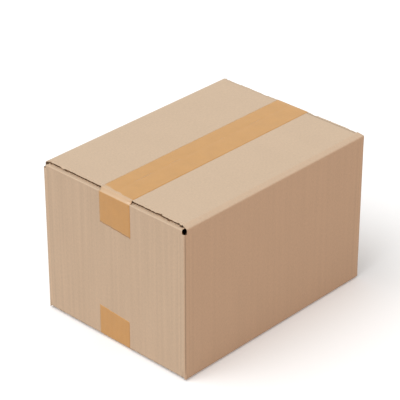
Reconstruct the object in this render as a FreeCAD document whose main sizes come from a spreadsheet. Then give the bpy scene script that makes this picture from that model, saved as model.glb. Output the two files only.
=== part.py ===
import FreeCAD, Part

import math
import os

import Sketcher

# A closed cardboard box: one blank of corrugated board, folded and glued into a sleeve, with its
# eight flaps folded shut and held by a strip of tape over the top seam and one under the bottom seam.
# Millimetres. The box stands on z = 0, centred on the z axis. Its length runs along x.
# The end walls face +x and -x and carry the short end flaps, which fold in first.
# The long side walls face +y and -y and carry the side flaps, which meet at the seam along x.

DIMENSIONS = {
    # Size over the outer faces of the folded board
    "box_length": 307.0,
    "box_width": 226.0,
    "box_height": 200.0,
    # The board and its creases
    "board": 3.8,
    "crease_inner_radius": 0.8,
    "corner_outer_radius": 3.2,
    "corner_inner_radius": 0.5,
    # The side flaps close over the end flaps and climb over them at a shoulder beside the crease
    "flap_clearance": 0.3,
    "seam_gap": 1.0,
    "crease_step": 3.4,
    "climb_angle": 45.0,
    "shoulder_inner_radius": 1.2,
    # The slots that part the flaps at each corner
    "slot_depth": 0.4,
    "side_flap_gap": 0.4,
    "end_flap_gap": 0.4,
    # The glue tab inside one end wall, and the cut edge of that wall beside the tab's crease
    "tab_length": 35.0,
    "tab_edge_gap": 0.6,
    # The flute that lies open along the cut ends of the side flaps
    "liner": 0.7,
    "open_flute_depth": 2.5,
    # The tapes
    "tape_width": 50.0,
    "tape_thickness": 0.15,
    "top_tape_drop": 45.0,
    "bottom_tape_rise": 43.0,
    "top_tape_shift": -4.0,
    "bottom_tape_shift": 0.0,
}

# Lengths that several sketches share, each worked out from the dimensions.
# The sketches are drawn about the middle of the box.
HALF_LENGTH = "dims.box_length / 2"
HALF_WIDTH = "dims.box_width / 2"
HALF_HEIGHT = "dims.box_height / 2"
CREASE_RADIUS = "(dims.board + dims.crease_inner_radius)"
SHOULDER_RADIUS = "(dims.board + dims.shoulder_inner_radius)"
CLIMB = "dims.climb_angle * 1 deg"
FLAP_REACH = f"({HALF_WIDTH} - dims.seam_gap / 2)"
# The side flaps' cut ends stand just inside the bends of the end flaps
SIDE_FLAP_SETBACK = f"({CREASE_RADIUS} + dims.side_flap_gap)"
SIDE_FLAP_LENGTH = f"dims.box_length - 2 * {SIDE_FLAP_SETBACK}"
# The level where the end walls start to bend into their flaps
END_CREASE = f"({HALF_HEIGHT} - dims.board - dims.flap_clearance - {CREASE_RADIUS})"
END_FLAP_FACE = f"({END_CREASE} + {CREASE_RADIUS})"
SIDE_CREASE = f"({END_CREASE} + dims.crease_step)"
SLOT_LEVEL = f"({END_CREASE} - dims.slot_depth)"
# How far the shoulder reaches in from the side wall's outer face before the side flap lies level
SHOULDER_RISE = (
    f"(dims.board + dims.flap_clearance - dims.crease_step"
    f" + ({CREASE_RADIUS} - {SHOULDER_RADIUS}) * (1 - cos({CLIMB})))"
)
SHOULDER_REACH = (
    f"({CREASE_RADIUS} * (1 - sin({CLIMB})) + {SHOULDER_RISE} / tan({CLIMB})"
    f" + {SHOULDER_RADIUS} * sin({CLIMB}))"
)

# The box stands on its bottom tape, so the board's middle is one tape's thickness higher
MIDDLE_HEIGHT = f"{HALF_HEIGHT} + dims.tape_thickness"
ON_AXIS = "0"

doc = FreeCAD.newDocument("closed_cardboard_box")


def add_dimensions():
    sheet = doc.addObject("Spreadsheet::Sheet", "dims")
    for row, (alias, value) in enumerate(DIMENSIONS.items(), start=1):
        sheet.set(f"A{row}", alias)
        sheet.set(f"B{row}", str(value))
        sheet.setAlias(f"B{row}", alias)
    doc.recompute()
    return sheet


dims = add_dimensions()


def value_of(expression):
    """The plain number that an expression on the sheet gives now."""
    result = dims.evalExpression(expression)
    return float(getattr(result, "Value", result))


def new_body(label, height, sideways="0", turned=False):
    """An empty sub-part whose own origin is the middle of the box."""
    body = doc.addObject("PartDesign::Body", label)
    body.Label = label
    if turned:
        body.Placement.Rotation = FreeCAD.Rotation(FreeCAD.Vector(1, 0, 0), 180)
    body.setExpression("Placement.Base.y", sideways)
    body.setExpression("Placement.Base.z", height)
    return body


def origin_plane(body, role):
    for feature in body.Origin.OriginFeatures:
        if feature.Role == role:
            return feature
    raise ValueError(f"{body.Label} has no {role}")


def new_sketch(body, name, plane):
    sketch = body.newObject("Sketcher::SketchObject", name)
    sketch.AttachmentSupport = [(origin_plane(body, plane), "")]
    sketch.MapMode = "FlatFace"
    return sketch


class Side:
    """One straight side of an outline. It passes through a point and has a direction."""

    def __init__(self, kind, expression, point, heading):
        self.kind = kind
        self.expression = expression
        self.point = point
        self.direction = (math.cos(heading), math.sin(heading))


def upright(expression):
    return Side("upright", expression, (value_of(expression), 0.0), math.pi / 2)


def level(expression):
    return Side("level", expression, (0.0, value_of(expression)), 0.0)


def sloping(point, heading, expression=None):
    return Side("sloping", expression, point, heading)


def crossing(first, second):
    (ax, ay), (ux, uy) = first.point, first.direction
    (bx, by), (vx, vy) = second.point, second.direction
    run = ((bx - ax) * vy - (by - ay) * vx) / (ux * vy - uy * vx)
    return FreeCAD.Vector(ax + run * ux, ay + run * uy, 0)


def rounded_corner(before, corner, after, radius):
    """Start, end and centre of the arc that rounds a corner."""
    to_before = (before - corner).normalize()
    to_after = (after - corner).normalize()
    half_angle = to_before.getAngle(to_after) / 2
    setback = radius / math.tan(half_angle)
    centre = corner + (to_before + to_after).normalize() * (radius / math.sin(half_angle))
    return corner + to_before * setback, corner + to_after * setback, centre


def arc_between(start, end, centre):
    """A round corner, and whether its own start point lies at the end of the path's arc."""
    radius = (start - centre).Length
    first = math.atan2(start.y - centre.y, start.x - centre.x)
    last = math.atan2(end.y - centre.y, end.x - centre.x)
    sweep = (last - first) % (2 * math.pi)
    clockwise = sweep > math.pi
    if clockwise:
        first, last = last, first
    circle = Part.Circle(centre, FreeCAD.Vector(0, 0, 1), radius)
    return Part.ArcOfCircle(circle, first, last), clockwise


def bind(sketch, constraint, expression):
    index = sketch.addConstraint(constraint)
    sketch.setExpression(f"Constraints[{index}]", expression)


def draw_outline(sketch, sides, radii):
    """Draws a closed outline. radii[i] rounds the corner between side i and the next one."""
    count = len(sides)
    corners = [crossing(sides[i], sides[(i + 1) % count]) for i in range(count)]
    starts = [corners[i - 1] for i in range(count)]
    ends = list(corners)
    arcs = {}
    for i, radius in enumerate(radii):
        if radius is None:
            continue
        following = corners[(i + 1) % count]
        start, end, centre = rounded_corner(corners[i - 1], corners[i], following, value_of(radius))
        ends[i] = start
        starts[(i + 1) % count] = end
        arcs[i] = arc_between(start, end, centre)
    lines = [sketch.addGeometry(Part.LineSegment(starts[i], ends[i]), False) for i in range(count)]
    for i in range(count):
        following = lines[(i + 1) % count]
        if i not in arcs:
            sketch.addConstraint(Sketcher.Constraint("Coincident", lines[i], 2, following, 1))
            continue
        arc, clockwise = arcs[i]
        index = sketch.addGeometry(arc, False)
        near, far = (2, 1) if clockwise else (1, 2)
        sketch.addConstraint(Sketcher.Constraint("Tangent", lines[i], 2, index, near))
        sketch.addConstraint(Sketcher.Constraint("Tangent", index, far, following, 1))
        bind(sketch, Sketcher.Constraint("Radius", index, value_of(radii[i])), radii[i])
    for line, side in zip(lines, sides):
        place_side(sketch, line, side)
    return lines


def place_side(sketch, line, side):
    if side.kind == "sloping":
        if side.expression:
            heading = math.atan2(side.direction[1], side.direction[0])
            bind(sketch, Sketcher.Constraint("Angle", line, heading), side.expression)
        return
    along, measure, axis = {
        "upright": ("Vertical", "DistanceX", -2),
        "level": ("Horizontal", "DistanceY", -1),
    }[side.kind]
    sketch.addConstraint(Sketcher.Constraint(along, line))
    place = value_of(side.expression)
    if side.expression == ON_AXIS:
        sketch.addConstraint(Sketcher.Constraint("PointOnObject", line, 1, axis))
    else:
        bind(sketch, Sketcher.Constraint(measure, -1, 1, line, 1, place), side.expression)


def place_point(sketch, measure, line, end, expression):
    """Holds one end of a line at a distance from the sketch's origin."""
    bind(sketch, Sketcher.Constraint(measure, -1, 1, line, end, value_of(expression)), expression)


def pad_both_ways(body, sketch, name, length):
    pad = body.newObject("PartDesign::Pad", name)
    pad.Profile = sketch
    pad.SideType = "Symmetric"
    pad.setExpression("Length", length)
    body.Tip = pad
    doc.recompute()
    return pad


def mirror(body, features, planes, name):
    """Repeats features in one origin plane, or in two."""
    if len(planes) == 1:
        copy = body.newObject("PartDesign::Mirrored", name)
        copy.Originals = features
        copy.MirrorPlane = (origin_plane(body, planes[0]), [""])
    else:
        copy = body.newObject("PartDesign::MultiTransform", name)
        copy.Originals = features
        steps = []
        for plane in planes:
            step = body.newObject("PartDesign::Mirrored", f"{name}_{plane}")
            step.MirrorPlane = (origin_plane(body, plane), [""])
            steps.append(step)
        copy.Transformations = steps
    body.Tip = copy
    doc.recompute()
    return copy


def build_walls(body):
    """The sleeve of four walls. The glue tab lies inside the +x wall, at the +y corner."""
    tab_edge = f"{HALF_WIDTH} - dims.corner_outer_radius - dims.tab_edge_gap"
    tab_end = f"{HALF_WIDTH} - dims.board - dims.tab_length"
    sketch = new_sketch(body, "sleeve_plan", "XY_Plane")
    outer = "dims.corner_outer_radius"
    inner = "dims.corner_inner_radius"
    outside = [
        level(f"-{HALF_WIDTH}"),
        upright(HALF_LENGTH),
        level(tab_edge),
        upright(f"{HALF_LENGTH} - dims.board"),
        level(HALF_WIDTH),
        upright(f"-{HALF_LENGTH}"),
    ]
    draw_outline(sketch, outside, [outer, None, None, outer, outer, outer])
    inside = [
        level(f"-({HALF_WIDTH} - dims.board)"),
        upright(f"{HALF_LENGTH} - dims.board"),
        level(tab_end),
        upright(f"{HALF_LENGTH} - 2 * dims.board"),
        level(f"{HALF_WIDTH} - dims.board"),
        upright(f"-({HALF_LENGTH} - dims.board)"),
    ]
    draw_outline(sketch, inside, [inner, None, None, inner, inner, inner])
    pad_both_ways(body, sketch, "sleeve", f"2 * {SLOT_LEVEL}")


def build_end_flaps(body):
    """The short flaps on the end walls. Each one bends square at its crease and lies level."""
    bend = new_sketch(body, "end_flap_bend_section", "XZ_Plane")
    bend_end = f"{HALF_LENGTH} - {CREASE_RADIUS}"
    underside = f"{END_FLAP_FACE} - dims.board"
    bend_sides = [
        upright(HALF_LENGTH),
        level(END_FLAP_FACE),
        upright(f"{bend_end} - dims.side_flap_gap / 2"),
        level(underside),
        upright(f"{HALF_LENGTH} - dims.board"),
        level(SLOT_LEVEL),
    ]
    radii = [CREASE_RADIUS, None, None, "dims.crease_inner_radius", None, None]
    draw_outline(bend, bend_sides, radii)
    bend_width = f"dims.box_width - 2 * (dims.board + dims.end_flap_gap)"
    bend_pad = pad_both_ways(body, bend, "end_flap_bend", bend_width)

    panel = new_sketch(body, "end_flap_panel_section", "XZ_Plane")
    panel_sides = [
        upright(bend_end),
        level(END_FLAP_FACE),
        upright(f"{HALF_LENGTH} - {FLAP_REACH}"),
        level(underside),
    ]
    draw_outline(panel, panel_sides, [None] * len(panel_sides))
    panel_width = f"dims.box_width - 2 * {SHOULDER_REACH}"
    panel_pad = pad_both_ways(body, panel, "end_flap_panel", panel_width)
    mirror(body, [bend_pad, panel_pad], ["YZ_Plane", "XY_Plane"], "end_flaps")


def build_top_side_flaps(body):
    """The long top flaps. Each leaves its crease at a slope, climbs over the end flaps and lies level."""
    sketch = new_sketch(body, "top_side_flap_section", "YZ_Plane")
    centre_y = value_of(f"{HALF_WIDTH} - {CREASE_RADIUS}")
    centre_z = value_of(SIDE_CREASE)
    climb = value_of("dims.climb_angle") * math.pi / 180
    outer_radius = value_of(CREASE_RADIUS)
    inner_radius = value_of("dims.crease_inner_radius")

    def on_slope(radius):
        return (centre_y + radius * math.sin(climb), centre_z + radius * math.cos(climb))

    sides = [
        upright(HALF_WIDTH),
        sloping(on_slope(outer_radius), math.pi - climb, f"180 deg - {CLIMB}"),
        level(HALF_HEIGHT),
        upright("dims.seam_gap / 2"),
        level(f"{HALF_HEIGHT} - dims.board"),
        sloping(on_slope(inner_radius), -climb, f"-{CLIMB}"),
        upright(f"{HALF_WIDTH} - dims.board"),
        level(SLOT_LEVEL),
    ]
    radii = [
        CREASE_RADIUS,
        SHOULDER_RADIUS,
        None,
        None,
        "dims.shoulder_inner_radius",
        "dims.crease_inner_radius",
        None,
        None,
    ]
    lines = draw_outline(sketch, sides, radii)
    place_point(sketch, "DistanceY", lines[0], 2, SIDE_CREASE)
    place_point(sketch, "DistanceY", lines[6], 1, SIDE_CREASE)
    flap = pad_both_ways(body, sketch, "top_side_flap", SIDE_FLAP_LENGTH)
    mirror(body, [flap], ["XZ_Plane"], "top_side_flaps")


def build_bottom_side_flaps(body):
    """The long bottom flaps, which the floor presses flat: each bends square at its crease."""
    sketch = new_sketch(body, "bottom_side_flap_section", "YZ_Plane")
    sides = [
        upright(HALF_WIDTH),
        level(f"-{HALF_HEIGHT}"),
        upright("dims.seam_gap / 2"),
        level(f"dims.board - {HALF_HEIGHT}"),
        upright(f"{HALF_WIDTH} - dims.board"),
        level(f"-{SLOT_LEVEL}"),
    ]
    draw_outline(sketch, sides, [CREASE_RADIUS, None, None, "dims.crease_inner_radius", None, None])
    flap = pad_both_ways(body, sketch, "bottom_side_flap", SIDE_FLAP_LENGTH)
    mirror(body, [flap], ["XZ_Plane"], "bottom_side_flaps")


def open_the_cut_flutes(body):
    """The cut ends of the side flaps run along a flute, so each shows a groove between its liners."""
    sketch = new_sketch(body, "open_flute_sections", "XZ_Plane")
    flute = "(dims.board - 2 * dims.liner)"
    rounding = f"0.4 * {flute}"
    cut_end = f"({HALF_LENGTH} - {SIDE_FLAP_SETBACK})"
    for end in ("1", "-1"):
        for face in ("1", "-1"):
            sides = [
                upright(f"{end} * ({cut_end} + dims.liner)"),
                level(f"{face} * ({HALF_HEIGHT} - dims.liner)"),
                upright(f"{end} * ({cut_end} - dims.open_flute_depth)"),
                level(f"{face} * ({HALF_HEIGHT} - dims.board + dims.liner)"),
            ]
            draw_outline(sketch, sides, [None, rounding, rounding, None])
    groove = body.newObject("PartDesign::Pocket", "open_flutes")
    groove.Profile = sketch
    groove.SideType = "Symmetric"
    groove.setExpression("Length", f"dims.box_width - 2 * {SHOULDER_REACH}")
    body.Tip = groove
    doc.recompute()


def build_carton():
    """The whole blank of board: walls, glue tab and eight flaps, folded as one piece."""
    body = new_body("carton", MIDDLE_HEIGHT)
    build_walls(body)
    build_end_flaps(body)
    build_top_side_flaps(body)
    build_bottom_side_flaps(body)
    solid_before = body.Shape.Volume
    open_the_cut_flutes(body)
    if body.Shape.Volume >= solid_before:
        raise RuntimeError("the open flutes cut nothing")
    return body


def build_tape(label, overhang, shift, turned):
    """A strip of tape over a seam and down both end walls. It bridges from each end wall's crease
    to the cut end of the side flaps."""
    body = new_body(label, MIDDLE_HEIGHT, shift, turned)
    sketch = new_sketch(body, f"{label}_section", "XZ_Plane")
    radius = value_of(CREASE_RADIUS)
    thickness = value_of("dims.tape_thickness")
    centre = FreeCAD.Vector(value_of(HALF_LENGTH) - radius, value_of(END_CREASE), 0)
    flap_edge = f"{HALF_LENGTH} - {SIDE_FLAP_SETBACK}"
    edge = FreeCAD.Vector(value_of(flap_edge), value_of(HALF_HEIGHT), 0)
    to_edge = edge - centre
    wrap = math.atan2(to_edge.y, to_edge.x) - math.acos(radius / to_edge.Length)
    heading = wrap + math.pi / 2
    outward = FreeCAD.Vector(math.cos(wrap), math.sin(wrap), 0)
    outer_point = centre + outward * (radius + thickness)
    sides = [
        upright(f"{HALF_LENGTH} + dims.tape_thickness"),
        sloping((outer_point.x, outer_point.y), heading),
        level(f"{HALF_HEIGHT} + dims.tape_thickness"),
        upright(ON_AXIS),
        level(HALF_HEIGHT),
        sloping((edge.x, edge.y), heading + math.pi),
        upright(HALF_LENGTH),
        level(f"{HALF_HEIGHT} - {overhang}"),
    ]
    outer_bend = f"{CREASE_RADIUS} + dims.tape_thickness"
    radii = [outer_bend, "dims.tape_thickness", None, None, None, CREASE_RADIUS, None, None]
    lines = draw_outline(sketch, sides, radii)
    place_point(sketch, "DistanceY", lines[0], 2, END_CREASE)
    place_point(sketch, "DistanceY", lines[6], 1, END_CREASE)
    place_point(sketch, "DistanceX", lines[5], 1, flap_edge)
    sketch.addConstraint(Sketcher.Constraint("Parallel", lines[1], lines[5]))
    strip = pad_both_ways(body, sketch, f"{label}_half", "dims.tape_width")
    mirror(body, [strip], ["YZ_Plane"], f"{label}_strip")
    return body


def check_document():
    """Stops if a feature failed or a sketch isn't held by its constraints."""
    for item in doc.Objects:
        if "Invalid" in item.State or "Error" in item.State:
            raise RuntimeError(f"{item.Name} failed: {item.State}")
        if item.TypeId == "Sketcher::SketchObject" and not item.FullyConstrained:
            raise RuntimeError(f"{item.Name} isn't fully constrained")


def check_shape(body):
    shape = body.Shape
    if shape.isNull() or not shape.isValid():
        raise RuntimeError(f"{body.Label} has no valid shape")
    if len(shape.Solids) != 1:
        raise RuntimeError(f"{body.Label} is {len(shape.Solids)} solids, not one")


def main():
    bodies = [
        build_carton(),
        build_tape("top_tape", "dims.top_tape_drop", "dims.top_tape_shift", turned=False),
        build_tape("bottom_tape", "dims.bottom_tape_rise", "dims.bottom_tape_shift", turned=True),
    ]
    doc.recompute()
    check_document()
    os.makedirs("parts", exist_ok=True)
    for body in bodies:
        check_shape(body)
        body.Shape.exportStep(f"parts/{body.Label}.step")
        box = body.Shape.BoundBox
        print(f"{body.Label}: {body.Shape.Volume:.1f} mm3, "
              f"{box.XLength:.2f} x {box.YLength:.2f} x {box.ZLength:.2f}, from z {box.ZMin:.2f}")


main()
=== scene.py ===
import math

import bpy
import numpy as np
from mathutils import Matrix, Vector


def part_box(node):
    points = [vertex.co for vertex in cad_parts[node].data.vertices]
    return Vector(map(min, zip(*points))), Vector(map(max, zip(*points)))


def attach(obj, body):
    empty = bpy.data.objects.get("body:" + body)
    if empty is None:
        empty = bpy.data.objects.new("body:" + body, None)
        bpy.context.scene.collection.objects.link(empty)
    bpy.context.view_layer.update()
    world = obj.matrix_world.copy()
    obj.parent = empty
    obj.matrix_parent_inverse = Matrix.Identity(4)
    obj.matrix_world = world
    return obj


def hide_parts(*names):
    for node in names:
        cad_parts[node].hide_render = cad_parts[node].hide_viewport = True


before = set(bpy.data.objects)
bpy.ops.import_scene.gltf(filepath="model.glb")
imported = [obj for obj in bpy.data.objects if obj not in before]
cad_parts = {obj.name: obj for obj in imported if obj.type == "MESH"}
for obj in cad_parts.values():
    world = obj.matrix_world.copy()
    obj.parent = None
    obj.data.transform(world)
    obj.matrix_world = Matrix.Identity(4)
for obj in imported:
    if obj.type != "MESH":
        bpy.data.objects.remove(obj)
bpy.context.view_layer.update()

# The looks of a closed cardboard box. Metres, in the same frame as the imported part: the box stands on
# z = 0, its length runs along x, and the photo looks at its -x end wall and its -y side wall.
# The carton is drawn as the flat blank that it is folded from. On the blank, s runs round the four
# walls and v runs up from the walls' middle, both measured on the outer face.

MM = 0.001

carton_low, carton_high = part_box("carton")
top_tape_low, top_tape_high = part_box("top_tape")
bottom_tape_low, bottom_tape_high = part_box("bottom_tape")

HALF_LENGTH = (carton_high.x - carton_low.x) / 2
HALF_WIDTH = (carton_high.y - carton_low.y) / 2
HALF_HEIGHT = (carton_high.z - carton_low.z) / 2
MIDDLE_HEIGHT = (carton_high.z + carton_low.z) / 2

# The board, its creases and its flaps, as in the part
BOARD = 3.8 * MM
LINER = 0.7 * MM
OPEN_FLUTE_DEPTH = 2.5 * MM
CREASE_INNER_RADIUS = 0.8 * MM
CREASE_RADIUS = BOARD + CREASE_INNER_RADIUS
SHOULDER_INNER_RADIUS = 1.2 * MM
SHOULDER_RADIUS = BOARD + SHOULDER_INNER_RADIUS
FLAP_CLEARANCE = 0.3 * MM
SEAM_GAP = 1 * MM
CREASE_STEP = 3.4 * MM
CLIMB = math.radians(45)
SLOT_DEPTH = 0.4 * MM
END_FLAP_GAP = 0.4 * MM
TAB_LENGTH = 35 * MM
TAB_EDGE_GAP = 0.6 * MM
END_CREASE = HALF_HEIGHT - BOARD - FLAP_CLEARANCE - CREASE_RADIUS
END_FLAP_FACE = END_CREASE + CREASE_RADIUS
SIDE_CREASE = END_CREASE + CREASE_STEP
SLOT_LEVEL = END_CREASE - SLOT_DEPTH

# The outer liner is pressed sharper than the part's own round bends: at the sleeve's corners, where the
# end flaps bend, and where the top side flaps leave their walls and then climb gently to their level
CORNER_RADIUS = 2.2 * MM
END_BEND = 0.9 * MM
TOP_BEND = 2.2 * MM
TOP_BEND_DELAY = 0.9 * MM
TOP_BEND_START = SIDE_CREASE + TOP_BEND_DELAY
TOP_CLIMB = math.radians(22)
TOP_LEVELLING = 7 * MM

# How far the side flaps' torn ends lie behind the end walls. Where the flaps are level it is a little
# less than in the part. At the bends each corner differs, and an end that reaches further out there
# draws back to its level part, with the points beside it up to the taper's reach.
SIDE_FLAP_SETBACK = 3.9 * MM
NEAR_BEND_SETBACK = 3.4 * MM
LEFT_BEND_SETBACK = 4.4 * MM
FAR_BEND_SETBACK = 1.4 * MM
TAPER_REACH = 12 * MM

# In a tight bend the inner face keeps this far from the bend's centre
CRUSHED_SKIN = 0.3 * MM
# A flap's cut edge leans back under its outer liner
UNDERCUT = 4 * MM
# The cut of the slots leans inwards, so that only the sleeve's outer liner reaches up to the slot
SLOT_LEAN = 2.5 * MM
SLOT_HALF_WIDTH = 7 * MM
# The sleeve's corners reach a little past the ends of the slots, as torn stubs of board
TOP_STUB = 0.5 * MM
BOTTOM_STUB = 6.9 * MM
STUB_GAP = 0.12 * MM

# The relief that the flutes press through the liner, full on the end walls and weaker elsewhere. It
# fades out before the upright corners.
FLUTE_PITCH = 8 * MM
FLUTE_RELIEF = 0.12 * MM
FLUTE_PATCH = 45 * MM
SIDE_WALL_FLUTES = 0.4
FLAP_FLUTES = 0.3
FLAP_FADE = 6 * MM
CREASE_FADE = 6 * MM

# The walls' slight bow inwards, in uneven patches, and small dents in all faces
PANEL_BOW = 0.5 * MM
BOW_PATCH = 70 * MM
BOW_REACH = 90 * MM
DENT_DEPTH = 0.06 * MM
DENT_SIZE = 14 * MM

# The marks beside the upright creases, as distances from the crease: shallow grooves with ridges between
# them on both sides, and a fine score on the long wall's side. Beside their real relief, the grooves and
# the score carry painted shade and the ridges a painted highlight. They fade out where the flaps start.
CRUSH_DEPTH = 0.22 * MM
CRUSH_PLACES = (6.8 * MM, 11.3 * MM)
CRUSH_WIDTH = 1.6 * MM
CRUSH_PATCH = 22 * MM
CRUSH_SHADE = 0.05
CRUSH_END = 2 * MM
CRUSH_FADE = 8 * MM
RIDGE_PLACES = (4.7 * MM, 9 * MM)
RIDGE_PAINTED_HIGHLIGHT = -0.05
SCORE_PLACE = 0.5 * MM
SCORE_WIDTH = 0.7 * MM
SCORE_DEPTH = 0.35 * MM
SCORE_SHADE = 0.4
SHADE_END = 1 * MM
SHADE_FADE = 2 * MM

# The torn liners of the side flaps' cut ends, and the flute that lies open between them, dark with painted
# shade
EDGING_DEPTH = 3 * MM
LIP_REACH = 2 * MM
LIP_START = 1.6 * MM
LIP_ROUND = 0.5 * MM
LIP_SLOPE = 0.12 * MM
LIP_EDGE = 0.1 * MM
FLUTE_TURN = 1.9 * MM
FLUTE_FLARE = 0.15 * MM
# How deep the tears are, and how long. The cut ends on the +x side are less torn.
BITE = 2.4 * MM
BITE_SIZE = 5.5 * MM
FRAY = 0.3 * MM
FRAY_SIZE = 1.7 * MM
INNER_TEAR = 0.9 * MM
INNER_FRAY = 0.6 * MM
INNER_FRAY_SIZE = 2.3 * MM
DROOP = 1.5 * MM
DROOP_SIZE = 9 * MM
FILLING = 2.2 * MM
FILLING_SIZE = 3.5 * MM
MOST_FILLING = 2.4 * MM
FAR_TEARS = 0.25
# Towards the box's corner the flute is crushed shut
CRUSHED_REACH = 4.5 * MM
CRUSHED_DROOP = 0.9 * MM

# Each tape's face lies a little above the board and dips over the seam. It isn't stuck down where it
# passes over the flaps' cut ends, and a little way before them, and the bridge there sags most at its
# edges.
TAPE_LIFT = 0.1 * MM
TAPE_FILM = 0.06 * MM
TAPE_MARGIN = 0.6 * MM
TAPE_SAG = 1.1 * MM
TAPE_MIDDLE_SAG = 0.3
TAPE_SAG_WIDTH = 6 * MM
LOOSE_REACH = 5 * MM
LOOSE_FADE = 1.2 * MM
LOOSE_PATCH = 6 * MM
# How much of its paleness, for looseness and the painted highlight, the tape keeps at the far end
FAR_LOOSENESS_AND_HIGHLIGHT = 0.15
SEAM_DIP = 0.12 * MM
SEAM_DIP_WIDTH = 1.5 * MM
# A tape's ends are cut aslant, lower at its -y edge, and a little ragged
END_SLANT = 3.5 * MM
SLANT_PIVOT = 0.8
END_FADE = 12 * MM
TAPE_FRAY = 0.35 * MM
TAPE_FRAY_SIZE = 1.4 * MM

# How finely the blank and what lies on it are divided
COLUMN_STEP = 2 * MM
CORNER_STEPS = 6
SCORE_STATIONS = (0.25 * MM, 0.5 * MM, 0.9 * MM, 1.3 * MM, 3 * MM, 3.7 * MM, 4.5 * MM, 5.3 * MM)
WALL_ROW_STEP = 8 * MM
FLAP_ROW_STEP = 9 * MM
END_FLAP_ROW_STEP = 30 * MM
BEND_ROW_STEP = 0.4 * MM
CREASE_ROW_STEP = 1.4 * MM
BEND_SUPPORT = 0.25 * MM
EDGING_STEP = 0.8 * MM
TAPE_COLUMN_STEP = 1.6 * MM
TAPE_ROW_STEP = 2.5 * MM
TAPE_WALL_STEP = 2 * MM
LOOSE_STEP = 0.8 * MM
BRIDGE_STEPS = 6
WRAP_STEPS = 8

# Which of its piece's materials a face has: the kraft, or a cut face, whose dark brown is mostly painted
# shade
KRAFT_FACE = 0
CUT_PAINTED_SHADE_FACE = 1


class Path:
    """A folded line: straight runs and bends that all turn the same way, starting along heading 0."""

    def __init__(self, pieces):
        self.starts = []
        place = np.zeros(2)
        heading = 0.0
        run = 0.0
        for length, turn in pieces:
            self.starts.append((run, place.copy(), heading, length, turn))
            place = self.step(place, heading, length, turn, length)
            heading += turn
            run += length
        self.length = run

    @staticmethod
    def step(place, heading, length, turn, along):
        """The point that far along one piece. Heading 0 points along the second axis."""
        along = np.asarray(along, dtype=float)
        if turn == 0:
            return place + along[..., None] * np.array([math.sin(heading), math.cos(heading)])
        radius = length / turn
        angle = heading + along / radius
        across = radius * (math.cos(heading) - np.cos(angle))
        ahead = radius * (np.sin(angle) - math.sin(heading))
        return place + np.stack([across, ahead], axis=-1)

    def room(self, run):
        """How deep the board can be at these lengths before it would pass a bend's centre."""
        run = np.asarray(run, dtype=float)
        room = np.full(run.shape, np.inf)
        for start, _, _, length, turn in self.starts:
            if turn:
                inside = (run > start - 1e-9) & (run < start + length + 1e-9)
                room[inside] = length / turn - CRUSHED_SKIN
        return room

    def at(self, run):
        """Points and headings at these lengths along the line."""
        run = np.asarray(run, dtype=float)
        points = np.zeros(run.shape + (2,))
        headings = np.zeros(run.shape)
        for start, place, heading, length, turn in self.starts:
            here = run >= start - 1e-9
            along = run - start
            points[here] = self.step(place, heading, length, turn, along)[here]
            headings[here] = heading + (turn * np.clip(along / length, 0, 1))[here]
        return points, headings


def bend(radius, turn):
    return (radius * turn, turn)


def straight(length):
    return (length, 0.0)


# How the part's top side flaps climb over the end flaps: how high, and how far in from the wall
SHOULDER_RISE = (
    BOARD + FLAP_CLEARANCE - CREASE_STEP
    + (CREASE_RADIUS - SHOULDER_RADIUS) * (1 - math.cos(CLIMB))
)
SHOULDER_REACH = (
    CREASE_RADIUS * (1 - math.sin(CLIMB)) + SHOULDER_RISE / math.tan(CLIMB)
    + SHOULDER_RADIUS * math.sin(CLIMB)
)
FLAP_REACH = HALF_WIDTH - SEAM_GAP / 2
SQUARE = math.pi / 2

# The folds as they are drawn, seen in section: how far in from the wall, and how high
END_FOLD = Path([
    straight(END_FLAP_FACE - END_BEND),
    bend(END_BEND, SQUARE),
    straight(FLAP_REACH - END_BEND),
])
TOP_RISE = (
    HALF_HEIGHT - TOP_BEND_START - TOP_BEND * math.cos(TOP_CLIMB)
    - TOP_LEVELLING * (1 - math.cos(TOP_CLIMB))
)
TOP_REACH = (
    TOP_BEND * (1 - math.sin(TOP_CLIMB)) + TOP_RISE / math.tan(TOP_CLIMB)
    + TOP_LEVELLING * math.sin(TOP_CLIMB)
)
TOP_FOLD = Path([
    straight(TOP_BEND_START),
    bend(TOP_BEND, SQUARE - TOP_CLIMB),
    straight(TOP_RISE / math.sin(TOP_CLIMB)),
    bend(TOP_LEVELLING, TOP_CLIMB),
    straight(FLAP_REACH - TOP_REACH),
])
BOTTOM_FOLD = Path([
    straight(HALF_HEIGHT - CREASE_RADIUS),
    bend(CREASE_RADIUS, SQUARE),
    straight(FLAP_REACH - CREASE_RADIUS),
])

# The sleeve, seen from above. It starts at the end wall's cut edge, beside the glue tab's crease.
CUT_EDGE = HALF_WIDTH - CORNER_RADIUS - TAB_EDGE_GAP
CORNER = bend(CORNER_RADIUS, SQUARE)
END_RUN = 2 * (HALF_WIDTH - CORNER_RADIUS)
SIDE_RUN = 2 * (HALF_LENGTH - CORNER_RADIUS)
SLEEVE = Path([
    straight(CUT_EDGE + HALF_WIDTH - CORNER_RADIUS),
    CORNER,
    straight(SIDE_RUN),
    CORNER,
    straight(END_RUN),
    CORNER,
    straight(SIDE_RUN - BOARD),
    CORNER,
    straight(TAB_LENGTH),
])
RUN_STARTS = [start for start, _, _, _, turn in SLEEVE.starts if turn == 0]
RUN_ENDS = [start + length for start, _, _, length, turn in SLEEVE.starts if turn == 0]
FAR_END, NEAR_SIDE, NEAR_END, FAR_SIDE = range(4)
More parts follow.
